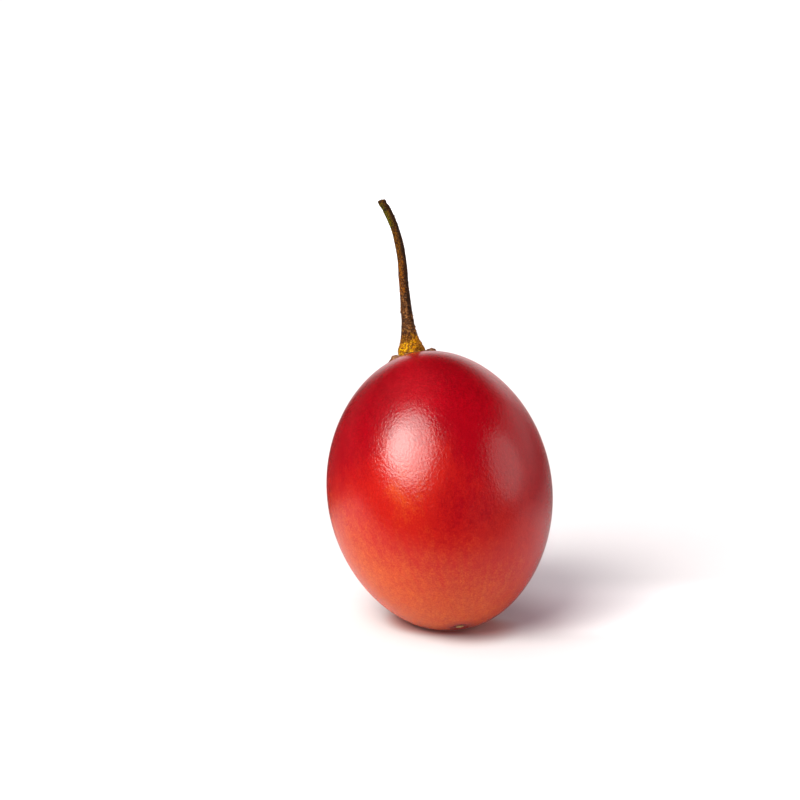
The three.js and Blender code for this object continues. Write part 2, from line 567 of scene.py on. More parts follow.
@dataclass(frozen=True)
class SkinFinish:
    """Thin waxy skin: crimson at the stem end, red then orange towards the blossom end and the left.

    Places and spans are in the berry's own axes, in which the skin is about a unit sphere, unless they
    are lengths.

    Attributes:
        crimson, red, orange: the ripe colours from the stem end down.
        bare: the unpigmented star around the calyx.
        bruise: the dull ring around the blossom scar.
        patches, clouds, mottle, grain, specks: the unevenness of the colour, from coarse to fine.
        streaks: the faint streaks from pole to pole.
        streak_core, streak_stretch: how they run together at the poles, and how far they are drawn out.
        wander: how far clouds and mottle move the edges of the glow and the blush.
        fine: how strongly mottle, grain and specks break up the change of colour.
        red_start, red_pull: what turns crimson red: height, side, glow, blush, patches and streaks.
        red_span: where that goes from crimson to red.
        orange_pull: what turns red orange: glow, height, side, left end, patches and streaks.
        orange_span: where that goes from red to orange.
        freckles: how strongly mottle, grain and specks darken and lighten the skin.
        freckle_gain, freckle_span: how much stronger that is on the upper skin, and where it sets in.
        streak_shade: how strongly the streaks show.
        painted_left_light: how much lighter the lower left is painted, where the key light falls: painted
            light.
        painted_crown_shade, crown_span: how much darker the crown is painted, and where that sets in:
            painted shade.
        painted_brow_light, brow_at, brow_span: the lighter band under the crown's middle, at the top of the
            key highlight: painted light.
        star_radius: how far the star reaches from the calyx's middle.
        star_points: how much further its points reach.
        star_ragged: how far the mottle moves its edge.
        star_edge: how softly it ends.
        points: how many points it has.
        star_turn: the direction of the first point.
        star_front: how much shorter the star is on the -Y side.
        bruise_start, bruise_radius: where the dull ring starts to fade, and where it ends.
        bruise_share: how strong it is.
        glow_at, glow_radius: the orange patch left of the middle of the front, round and below the key
            highlight: partly the skin's own orange, partly painted light.
        blush_at, blush_radius: the crimson patch below the middle of the front.
        pores, swell: the fine and the slow unevenness of the surface.
        relief: how strongly pores and swell show.
        relief_depth: how deep they go.
        relief_loss, relief_span: how much weaker they are near the calyx, and where that sets in.
    """

    crimson: Colour = (0.228, 0.0, 0.0035)
    red: Colour = (0.345, 0.007, 0.0035)
    orange: Colour = (0.54, 0.100, 0.011)
    bare: Colour = (0.52, 0.15, 0.01)
    bruise: Colour = (0.17, 0.012, 0.02)
    patches: Layer = Layer(1.7, 2.0)
    clouds: Layer = Layer(6.0, 2.0)
    mottle: Layer = Layer(16.0, 4.0, 0.65)
    grain: Layer = Layer(36.0, 2.0, 0.6)
    specks: Layer = Layer(84.0, 1.0)
    streaks: Layer = Layer(17.0, 4.0, 0.6)
    streak_core: float = 0.05
    streak_stretch: float = 0.22
    wander: tuple[float, ...] = (0.35, 0.3)
    fine: tuple[float, ...] = (0.26, 0.24, 0.36)
    red_start: float = 0.02
    red_pull: tuple[float, ...] = (-1.0, -0.25, 0.75, -0.35, 0.5, 0.35)
    red_span: Span = (-0.15, 0.55)
    orange_pull: tuple[float, ...] = (0.58, -1.0, -0.06, 0.65, 0.25, 0.30)
    orange_span: Span = (0.54, 1.40)
    freckles: tuple[float, ...] = (0.12, 0.15, 0.34)
    freckle_gain: float = 2.4
    freckle_span: Span = (0.12, 0.5)
    streak_shade: float = 0.20
    painted_left_light: float = 0.10
    painted_crown_shade: float = 0.30
    crown_span: Span = (0.25, 0.85)
    painted_brow_light: float = 0.26
    brow_at: Span = (-0.13, 0.34)
    brow_span: Span = (0.15, 0.4)
    star_radius: float = 6.1 * MM
    star_points: float = 1.1 * MM
    star_ragged: float = 1.2 * MM
    star_edge: Span = (-0.3 * MM, 1.3 * MM)
    points: int = 5
    star_turn: float = math.radians(43)
    star_front: float = 3.0 * MM
    bruise_start: float = 0.8 * MM
    bruise_radius: float = 4.8 * MM
    bruise_share: float = 0.8
    glow_at: tuple[float, float, float] = (-0.28, -0.95, -0.08)
    glow_radius: float = 0.50
    blush_at: tuple[float, float, float] = (0.02, -0.86, -0.51)
    blush_radius: float = 0.48
    pores: Layer = Layer(48.0, 2.0, 0.6)
    swell: Layer = Layer(17.0, 2.0)
    relief: tuple[float, ...] = (0.7, 0.22)
    relief_depth: float = 0.22 * MM
    relief_loss: float = 0.65
    relief_span: Span = (0.6, 0.9)

    def material(self, form: BerryForm) -> bpy.types.Material:
        """Writes the material in the berry's own axes.

        Args:
            form: the berry's form.

        Returns:
            The material.
        """
        material, tree = new_material("tamarillo_skin")
        placed = tree.node(
            "ShaderNodeMapping",
            {"vector_type": "TEXTURE"},
            {
                "Vector": tree.place(),
                "Location": form.centre,
                "Rotation": form.lean.to_euler(),
                "Scale": (form.half_width, form.half_width, form.half_length),
            },
        ).outputs[0]
        z = tree.parts(placed)[2]
        mottle = tree.swing(placed, self.mottle)
        colour = self.ripe(tree, placed, mottle)
        colour = tree.colour_mix(self.star(tree, placed, mottle, form), colour, self.bare)
        colour = tree.colour_mix(self.ring(tree, placed, form), colour, self.bruise)
        relief = weighted(self.relief, tree.noise(placed, self.pores), tree.noise(placed, self.swell))
        relief = relief * (1.0 - self.relief_loss * z.rise(*self.relief_span))
        tree.surface({
            "Base Color": colour,
            "Roughness": 0.205 + 0.10 * mottle,
            "IOR": 1.45,
            "Subsurface Weight": 0.12,
            "Subsurface Radius": (1.0, 0.25, 0.12),
            "Subsurface Scale": 1.5 * MM,
            "Coat Weight": 0.15,
            "Coat Roughness": 0.14,
            "Sheen Weight": 0.22,
            "Sheen Roughness": 0.3,
            "Sheen Tint": (1.0, 0.10, 0.08, 1.0),
            "Normal": tree.bump(relief, self.relief_depth, strength=0.5),
        })
        return material

    def ripe(self, tree: Tree, placed: bpy.types.NodeSocket, mottle: Value) -> bpy.types.NodeSocket:
        """Gives the ripe colour, with painted light on the lower left and under the crown's middle and
        painted shade on the crown, without the star and the ring.

        Args:
            tree: the material's tree.
            placed: the place in the berry's own axes.
            mottle: the middle layer of unevenness.

        Returns:
            The colour.
        """
        x, y, z = tree.parts(placed)
        patches = tree.swing(placed, self.patches)
        clouds = tree.swing(placed, self.clouds)
        grain = tree.swing(placed, self.grain)
        specks = tree.swing(placed, self.specks)
        from_axis = tree.root(x * x + y * y) + self.streak_core
        streaked = tree.vector(x / from_axis, y / from_axis, z * self.streak_stretch)
        streaks = tree.swing(streaked, self.streaks)

        wander = weighted(self.wander, clouds, mottle)
        # The glow patch lies where the key light falls: partly the skin's own orange, partly painted light
        # that makes it redder and brighter.
        glow = 1.0 - (tree.measure("DISTANCE", placed, self.glow_at) + wander).rise(0.0, self.glow_radius)
        blush = 1.0 - (tree.measure("DISTANCE", placed, self.blush_at) + wander).rise(0.0, self.blush_radius)
        left = tree.math("MINIMUM", x, 0.0)
        fine = weighted(self.fine, mottle, grain, specks)
        reddening = self.red_start + weighted(self.red_pull, z, x, glow, blush, patches, streaks) + fine
        ripeness = weighted(self.orange_pull, glow, z, x, left * left, patches, streaks) + fine
        colour = tree.colour_mix(reddening.rise(*self.red_span), self.crimson, self.red)
        colour = tree.colour_mix(ripeness.rise(*self.orange_span), colour, self.orange)

        gain = 1.0 + self.freckle_gain * z.rise(*self.freckle_span)
        shade = 1.0 - self.streak_shade * streaks + weighted(self.freckles, mottle, grain, specks) * gain
        # Painted light: the lower left, which faces the key light, is made lighter.
        shade = shade + self.painted_left_light * (-x).rise(0.0, 0.6) * (-z).rise(-0.3, 0.1)
        # Painted shade: the crown is made darker.
        shade = shade - self.painted_crown_shade * z.rise(*self.crown_span)
        # Painted light: the band under the crown's middle, round the top of the key highlight, is made
        # lighter.
        shade = shade + self.painted_brow_light * x.peak(*self.brow_at) * z.rise(*self.brow_span)
        return tree.scaled(colour, shade)

    def star(self, tree: Tree, placed: bpy.types.NodeSocket, mottle: Value, form: BerryForm) -> Value:
        """Gives the share of bare skin: a ragged star round the calyx.

        Args:
            tree: the material's tree.
            placed: the place in the berry's own axes.
            mottle: the middle layer of unevenness.
            form: the berry's form.

        Returns:
            The share.
        """
        x, y, z = tree.parts(placed)
        x = x + form.crown_shift / form.half_width
        from_crown = tree.root(x * x + y * y) * form.half_width
        bearing = tree.math("ARCTAN2", y, x)
        pointed = tree.math("COSINE", (bearing - self.star_turn) * self.points)
        front = tree.larger(-tree.math("SINE", bearing), 0.0)
        edge = self.star_radius + self.star_points * pointed + mottle * self.star_ragged
        edge = edge - self.star_front * front
        return (edge - from_crown).rise(*self.star_edge) * z.rise(0.0, 0.2)

    def ring(self, tree: Tree, placed: bpy.types.NodeSocket, form: BerryForm) -> Value:
        """Gives the share of dull skin, round the blossom scar.

        Args:
            tree: the material's tree.
            placed: the place in the berry's own axes.
            form: the berry's form.

        Returns:
            The share.
        """
        x, y, z = tree.parts(placed)
        from_axis = tree.root(x * x + y * y) * form.half_width
        share = (1.0 - from_axis.rise(self.bruise_start, self.bruise_radius)) * self.bruise_share
        return share * z.rise(0.0, -0.2)


@dataclass(frozen=True)
class DriedLeafFinish:
    """Dry sepal: olive brown on top, tan with darker veins underneath, and a brown edge.

    Attributes:
        name: the material's name.
        olive, dark: the dry colours on top.
        tan, vein: the colours underneath.
        edge: the thin edge.
        blotches, flecks, veins: the unevenness of the colour and the surface.
        vein_stretch: how far the veins are drawn out upwards.
        relief: how strongly blotches, flecks and veins show on the surface.
        relief_depth: how deep they go.
        edge_share: where the edge lies on the way from pole to pole.
        edge_width: how wide it is, in the same shares.
    """

    name: str = "dried_sepal"
    olive: Colour = (0.125, 0.085, 0.018)
    dark: Colour = (0.035, 0.018, 0.008)
    tan: Colour = (0.46, 0.28, 0.13)
    vein: Colour = (0.17, 0.07, 0.022)
    edge: Colour = (0.15, 0.06, 0.018)
    blotches: Layer = Layer(420.0, 3.0, 0.6)
    flecks: Layer = Layer(2300.0, 3.0, 0.7)
    veins: Layer = Layer(1700.0, 2.0, 0.6)
    vein_stretch: float = 0.2
    relief: tuple[float, ...] = (0.3, 0.4, 0.3)
    relief_depth: float = 0.12 * MM
    edge_share: float = 0.5
    edge_width: float = 0.03

    def material(self) -> bpy.types.Material:
        """Writes the material from the share that the mesh carries and from Object coordinates.

        Returns:
            The material.
        """
        material, tree = new_material(self.name)
        where = tree.place()
        share = tree.carried(Mark.SHARE)
        blotches = tree.noise(where, self.blotches)
        flecks = tree.noise(where, self.flecks)
        x, y, z = tree.parts(where)
        veins = tree.noise(tree.vector(x, y, z * self.vein_stretch), self.veins)
        top = tree.colour_mix(blotches.rise(0.4, 0.62), self.olive, self.vein)
        top = tree.colour_mix(flecks.rise(0.5, 0.72) * 0.8, top, self.dark)
        under = tree.colour_mix(veins.rise(0.44, 0.62) * 0.9, self.tan, self.vein)
        colour = tree.colour_mix((share - self.edge_share).rise(-0.004, 0.012), under, top)
        rim_at = self.edge_share + 0.2 * self.edge_width
        rim = (share + self.edge_width * flecks).peak(rim_at, self.edge_width)
        colour = tree.colour_mix(rim, colour, self.edge)
        relief = weighted(self.relief, blotches, flecks, veins)
        tree.surface({
            "Base Color": colour,
            "Roughness": 0.72,
            "Normal": tree.bump(relief, self.relief_depth, strength=0.6),
        })
        return material


@dataclass(frozen=True)
class BarkFinish:
    """Dry stalk bark: gold at the flared foot, speckled brown above it, green towards the cut tip.

    Spans are distances along the stalk, from where a colour starts to where it is full.

    Attributes:
        gold, yellow: the flared foot and its brighter flecks, which fade out towards the +X side: that
            fading is painted shade.
        grey, rust, brown, green: the bark from the foot up.
        tan: the pale flecks on the lower half.
        dark: the painted shade on the +X side, the fibres and the flecks.
        umber: the darker patch and the flecks on the flared foot, and the cut end.
        fibres, blotches, flecks, glints, grit: the unevenness of the colour and the surface.
        fibre_stretch: how far the fibres are drawn out along the stalk.
        blotch_shift, fibre_shift: how far blotches and fibres move the ends of the colours.
        grey_from, rust_from, brown_from, green_from, cut_from: where these start.
        patch_at, patch_reach: the middle of the darker patch, and how far it reaches.
        tan_from, tan_to: where the pale flecks start and where they end.
        painted_shade_from: where the painted shade on the +X side starts.
        fleck_from: where the flecks turn from umber to dark.
        speck_from: where the raised specks turn from golden to dark.
        relief: how strongly fibres and flecks show on the surface.
        relief_depth: how deep they go.
    """

    gold: Colour = (0.34, 0.12, 0.0)
    yellow: Colour = (0.72, 0.41, 0.0)
    rust: Colour = (0.180, 0.053, 0.0)
    brown: Colour = (0.122, 0.043, 0.0)
    grey: Colour = (0.112, 0.041, 0.009)
    tan: Colour = (0.30, 0.125, 0.035)
    green: Colour = (0.088, 0.072, 0.0)
    dark: Colour = (0.012, 0.005, 0.003)
    umber: Colour = (0.065, 0.018, 0.0)
    fibres: Layer = Layer(3.0, 4.0, 0.6)
    blotches: Layer = Layer(420.0, 3.0, 0.6)
    flecks: Layer = Layer(3300.0, 2.0, 0.6)
    glints: Layer = Layer(1500.0, 2.0, 0.6)
    grit: Layer = Layer(2500.0, 2.0, 0.6)
    fibre_stretch: float = 120.0
    blotch_shift: float = 9 * MM
    fibre_shift: float = 6 * MM
    grey_from: Span = (4.5 * MM, 5.5 * MM)
    rust_from: Span = (13.5 * MM, 17 * MM)
    brown_from: Span = (20 * MM, 25 * MM)
    green_from: Span = (27.5 * MM, 30.5 * MM)
    cut_from: Span = (35.4 * MM, 36.4 * MM)
    patch_at: float = 4.5 * MM
    patch_reach: float = 1.9 * MM
    tan_from: Span = (4.5 * MM, 6.0 * MM)
    tan_to: Span = (10 * MM, 17 * MM)
    painted_shade_from: Span = (4 * MM, 14 * MM)
    fleck_from: Span = (3.2 * MM, 5.5 * MM)
    speck_from: Span = (4.5 * MM, 7.5 * MM)
    relief: tuple[float, ...] = (0.4, 0.6)
    relief_depth: float = 0.18 * MM

    def material(self) -> bpy.types.Material:
        """Writes the material from what the stalk's mesh carries: the distance, the angle and the side.

        Returns:
            The material.
        """
        material, tree = new_material("stalk_bark")
        where = tree.place()
        along, around, side = (tree.carried(mark) for mark in (Mark.ALONG, Mark.AROUND, Mark.SIDE))
        turn = tree.math("COSINE", around), tree.math("SINE", around)
        fibres = tree.noise(tree.vector(*turn, along * self.fibre_stretch), self.fibres)
        blotches, flecks, glints, grit = (
            tree.noise(where, layer) for layer in (self.blotches, self.flecks, self.glints, self.grit)
        )
        mixed = tree.colour_mix

        height = along + (blotches - 0.5) * self.blotch_shift + (fibres - 0.5) * self.fibre_shift
        # The yellow flecks are the foot's own; their fading out towards the +X side, away from the key
        # light, is painted shade.
        colour = mixed(grit.rise(0.42, 0.62) * (-side).rise(-1.0, 0.4), self.gold, self.yellow)
        colour = mixed((height - side * (0.9 * MM)).rise(*self.grey_from), colour, self.grey)
        patch = (-side).rise(-0.35, 0.25) * along.peak(self.patch_at, self.patch_reach) * 1.7
        colour = mixed((patch + (blotches - 0.5)).rise(0.1, 0.4) * 0.93, colour, self.umber)
        colour = mixed(height.rise(*self.rust_from), colour, self.rust)
        pale = glints.rise(0.53, 0.64) * along.rise(*self.tan_from) * (1.0 - along.rise(*self.tan_to))
        colour = mixed(pale * 0.75, colour, self.tan)
        colour = mixed(height.rise(*self.brown_from), colour, self.brown)
        colour = mixed(height.rise(*self.green_from) * (-side).rise(-0.3, 0.6), colour, self.green)
        colour = mixed(along.rise(*self.cut_from) * 0.8, colour, self.umber)
        # Painted shade: the +X side of the stalk, away from the key light, is darkened.
        painted_shade = (side + (blotches - 0.5) * 0.8).rise(-0.15, 0.45) * along.rise(*self.painted_shade_from)
        colour = mixed(painted_shade * 0.85, colour, self.dark)
        fleck = mixed(along.rise(*self.fleck_from), self.umber, self.dark)
        colour = mixed(fibres.rise(0.52, 0.66) * 0.5, colour, fleck)
        colour = mixed(flecks.rise(0.44, 0.55) * 0.92, colour, fleck)
        tree.surface({
            "Base Color": tree.scaled(colour, 0.25 + 1.6 * glints),
            "Roughness": 0.6,
            "Specular IOR Level": 0.06,
            "Normal": tree.bump(weighted(self.relief, fibres, flecks), self.relief_depth, strength=0.7),
        })
        return material

    def speck_material(self) -> bpy.types.Material:
        """Writes the finish of the raised specks: golden brown on the foot, dark above it.

        Returns:
            The material.
        """
        material, tree = new_material("bark_specks")
        above = tree.carried(Mark.ALONG).rise(*self.speck_from)
        low = tree.colour_mix(above, self.umber, self.dark)
        high = tree.colour_mix(above, self.gold, self.grey)
        lit = tree.noise(tree.place(), self.glints).rise(0.35, 0.65)
        tree.surface({
            "Base Color": tree.colour_mix(lit, low, high),
            "Roughness": 0.7,
            "Specular IOR Level": 0.25,
        })
        return material


@dataclass
class Berry:
    """The berry's skin, uncut and whole, with the flower's scar at its blossom end.

    Attributes:
        form: the berry's form.
        finish: the skin's finish.
        sides, rings: how finely the skin is made.
        press_edge: how softly the flat spot's edge is rounded.
        hollow_depth, hollow_radius: the dimple around the flower's scar.
        unevenness: how far the skin dips in from a true turned form.
        dips: how those dips are spread.
    """

    form: BerryForm
    finish: SkinFinish
    sides: int = 360
    rings: int = 220
    press_edge: float = 0.9 * MM
    hollow_depth: float = 0.45 * MM
    hollow_radius: float = 1.7 * MM
    unevenness: float = 0.12 * MM
    dips: Layer = Layer(1.6, 1.0)

    def build(self) -> None:
        """Grows the skin over a sphere and hands it to the frame."""
        keep(self.grow_skin().run("berry_skin"), Slot.SKIN, "fruit")

    def grow_skin(self) -> Growth:
        """Writes the tree that turns a unit sphere into the leaning, standing berry.

        Returns:
            The tree, ready to run.
        """
        growth = Growth("berry_skin")
        tree, form = growth.tree, self.form
        half_width, half_length, end_taper = growth.sizes(form, "half_width", "half_length", "end_taper")
        press_edge, hollow_depth, hollow_radius, unevenness, sides, rings = growth.sizes(
            self, "press_edge", "hollow_depth", "hollow_radius", "unevenness", "sides", "rings"
        )
        centre = growth.size("Centre", form.centre)
        lean = growth.size("Lean", Vector(form.lean.to_euler()))

        inputs = {"Segments": sides, "Rings": rings, "Radius": 1.0}
        ball = tree.node("GeometryNodeMeshUVSphere", inputs=inputs)
        place = tree.node("GeometryNodeInputPosition").outputs[0]
        x, y, z = tree.parts(place)
        slimmed = half_width * (1.0 - end_taper * z * z) - unevenness * tree.noise(place, self.dips)
        near = tree.root(x * x + y * y) * half_width / hollow_radius
        hollow = hollow_depth * tree.fade(near * near) * z.rise(0.0, -0.5)
        own = tree.vector(x * slimmed, y * slimmed, z * half_length + hollow)
        turned = tree.node("FunctionNodeRotateVector", inputs={
            "Vector": own,
            "Rotation": tree.node("FunctionNodeEulerToRotation", inputs={0: lean}).outputs[0],
        })
        leaning = tree.vector_math("ADD", turned.outputs[0], centre)
        world_x, world_y, world_z = tree.parts(leaning)
        standing = tree.vector(world_x, world_y, tree.math("SMOOTH_MAX", world_z, 0.0, press_edge))
        inputs = {"Geometry": ball.outputs["Mesh"], "Position": standing}
        moved = tree.node("GeometryNodeSetPosition", inputs=inputs)
        growth.finish(moved.outputs[0], self.finish.material(form))
        return growth


@dataclass
class BlossomScar:
    """The dry scar where the flower's style broke off, in the hollow of the blossom end.

    Attributes:
        form: the berry's form.
        material: its dry finish.
        width, depth: its size across and along the slit.
        ragged: the waves of its outline: how many, how high, and where they start.
        rim: how far its rim stands up.
        rim_at, rim_width: where the rim lies and how wide it is, in shares of the way out from the middle.
        slit_depth, slit_width: the slit across it.
        slit_end: how far along the width the slit reaches.
        bulge: half its thickness in the middle.
        sunk: how far it sits below the pole of the whole berry.
        sides, rings: how finely it is made.
    """

    form: BerryForm
    material: bpy.types.Material
    width: float = 1.6 * MM
    depth: float = 1.1 * MM
    ragged: tuple[tuple[int, float, float], ...] = ((5, 0.07, 1.0), (11, 0.05, 0.0))
    rim: float = 0.16 * MM
    rim_at: float = 0.8
    rim_width: float = 0.2
    slit_depth: float = 0.22 * MM
    slit_width: float = 0.16 * MM
    slit_end: float = 0.42
    bulge: float = 0.05 * MM
    sunk: float = 0.38 * MM
    sides: int = 72
    rings: int = 26

    def build(self) -> None:
        """Makes the scar as a small wrinkled cushion and hands it to the frame."""
        mesh = closed_skin("blossom_scar", self.sides, self.rings, self.point)
        mesh.materials.append(self.material)
        keep(new_piece("blossom_scar", mesh), Slot.DRIED_LEAF)

    def point(self, share: float, angle: float) -> Vector:
        """Gives a point of the cushion: the back for the first half of the way, the front for the second.

        Args:
            share: the share of the way from the back's pole over the rim to the front's.
            angle: the angle round the berry's axis.

        Returns:
            The point in the frame.
        """
        reach = math.sin(math.pi * share)
        reach *= 1 + sum(height * math.sin(waves * angle + start) for waves, height, start in self.ragged)
        x = self.width / 2 * reach * math.cos(angle)
        y = self.depth / 2 * reach * math.sin(angle)
        out = self.bulge * math.cos(math.pi * share)
        if share > 0.5:
            slit = self.slit_depth * math.exp(-((y / self.slit_width) ** 2))
            out += slit * smoothstep(abs(x), self.width * self.slit_end, 0.0)
            out -= self.rim * math.exp(-(((math.sin(math.pi * share) - self.rim_at) / self.rim_width) ** 2))
        bottom = -self.form.half_length + self.sunk
        own = Vector((x, y, bottom + out))
        return Matrix.Translation(self.form.centre) @ self.form.lean @ own


@dataclass
class Calyx:
    """The five dry sepals on the stem end, grown together into one lobed ring that hugs the skin.

    Attributes:
        form: the berry's form.
        material: the dry finish.
        radius: the mean radius.
        lobes: how many sepals there are.
        lobe_reach: how far each tip passes the mean radius.
        wander, wander_scale: how unlike the lobes are, and how quickly that changes round the stalk.
        fray, fray_scales: how ragged the edge is, and how finely.
        turn: the direction of the first lobe.
        lie: the gap between the sepals and the skin.
        thickness, edge_thickness: near the stalk, and at the papery edge.
        thin_sides, thin_front: how late the sepals thin out, and how much sooner they do at the front.
        curl_start: where the sepals start to curl up off the skin.
        curl: how far their edges have curled up.
        curl_shares: how much of that comes all round, from the lobes and from a wave.
        curl_scale: how quick the wave is.
        curl_front: how far round the front the curl fades out, as the sine of the bearing.
        crease: how deep the creases on top are.
        pull: how far an edge has drawn in for each bit that it has curled up.
        front_short: how much shorter the sepals are on the -Y side, where they lie flat.
        stand: how steeply the most curled sepal stands up off the skin.
        stand_at: the direction of that sepal.
        stand_start: where it starts to stand up.
        stand_width: how far to either side of it the sepals still stand up, as a cosine.
        stand_front: how far round the front that fades out, as the sine of the bearing.
        stand_pull: how far it has drawn in for each bit past its start.
        sides, rings: how finely it is made.
    """

    form: BerryForm
    material: bpy.types.Material
    radius: float = 5.7 * MM
    lobes: int = 5
    lobe_reach: float = 0.55 * MM
    wander: float = 0.5
    wander_scale: float = 2.3
    fray: float = 0.08 * MM
    fray_scales: Span = (16, 41)
    turn: float = math.radians(-29)
    lie: float = 0.05 * MM
    thickness: float = 0.3 * MM
    edge_thickness: float = 0.09 * MM
    thin_sides: float = 6
    thin_front: float = 4
    curl_start: float = 4.1 * MM
    curl: float = 0.95 * MM
    curl_shares: tuple[float, float, float] = (0.55, 0.45, 0.1)
    curl_scale: float = 5
    curl_front: Span = (1.05, 0.75)
    crease: float = 0.05 * MM
    pull: float = 0.55
    front_short: float = 0.5 * MM
    stand: float = 1.05
    stand_at: float = math.radians(225)
    stand_start: float = 3.9 * MM
    stand_width: float = 0.70
    stand_front: Span = (0.86, 0.63)
    stand_pull: float = 0.5
    sides: int = 260
    rings: int = 84

    def build(self) -> None:
        """Makes the calyx and hands it to the frame."""
        mesh = closed_skin("calyx_sepals", self.sides, self.rings, self.point)
        mesh.materials.append(self.material)
        keep(new_piece("calyx_sepals", mesh), Slot.DRIED_LEAF, "calyx")

    def point(self, share: float, angle: float) -> Vector:
        """Gives a point of the calyx: out along the skin for half of the way, then back on top.

        Args:
            share: the share of the way from the middle underneath, over the edge, to the middle on top.
            angle: the angle round the crown.

        Returns:
            The point in the frame.
        """
        out = 1 - abs(2 * share - 1)
        bearing = Vector((math.cos(angle), math.sin(angle), 0.0))
        lobe = math.cos(self.lobes * (angle - self.turn))
        wander = self.wander * noise.noise(bearing * self.wander_scale)
        fray = sum(noise.noise(bearing * scale) for scale in self.fray_scales)
        front = max(-math.sin(angle), 0.0)
        edge = self.radius - self.front_short * front + self.lobe_reach * (lobe + wander) + self.fray * fray
        distance = edge * out**0.8
        outward = smoothstep(distance, self.curl_start, edge)
        wave = noise.noise(bearing * self.curl_scale + Vector((0, 0, out * 2)))
        upright = smoothstep(math.cos(angle - self.stand_at), self.stand_width, 1.0)
        even, by_lobe, by_wave = self.curl_shares
        curl = max(self.curl * outward * (even + by_lobe * lobe + by_wave * wave), 0.0)
        curl *= (1 - upright) * smoothstep(front, *self.curl_front)
        crease = self.crease * math.cos(self.lobes * 6 * angle) * outward
        past = max(distance - self.stand_start, 0.0) * upright * smoothstep(front, *self.stand_front)
        distance -= self.pull * curl + self.stand_pull * past
        curl += self.stand * past * upright**1.5
        height = self.lie + curl - self.form.skin_drop(distance)
        if share > 0.5:
            thinned = out ** (self.thin_sides - self.thin_front * front)
            height += self.thickness + (self.edge_thickness - self.thickness) * thinned + crease
        return self.form.crown @ (bearing * distance + Vector((0, 0, height)))


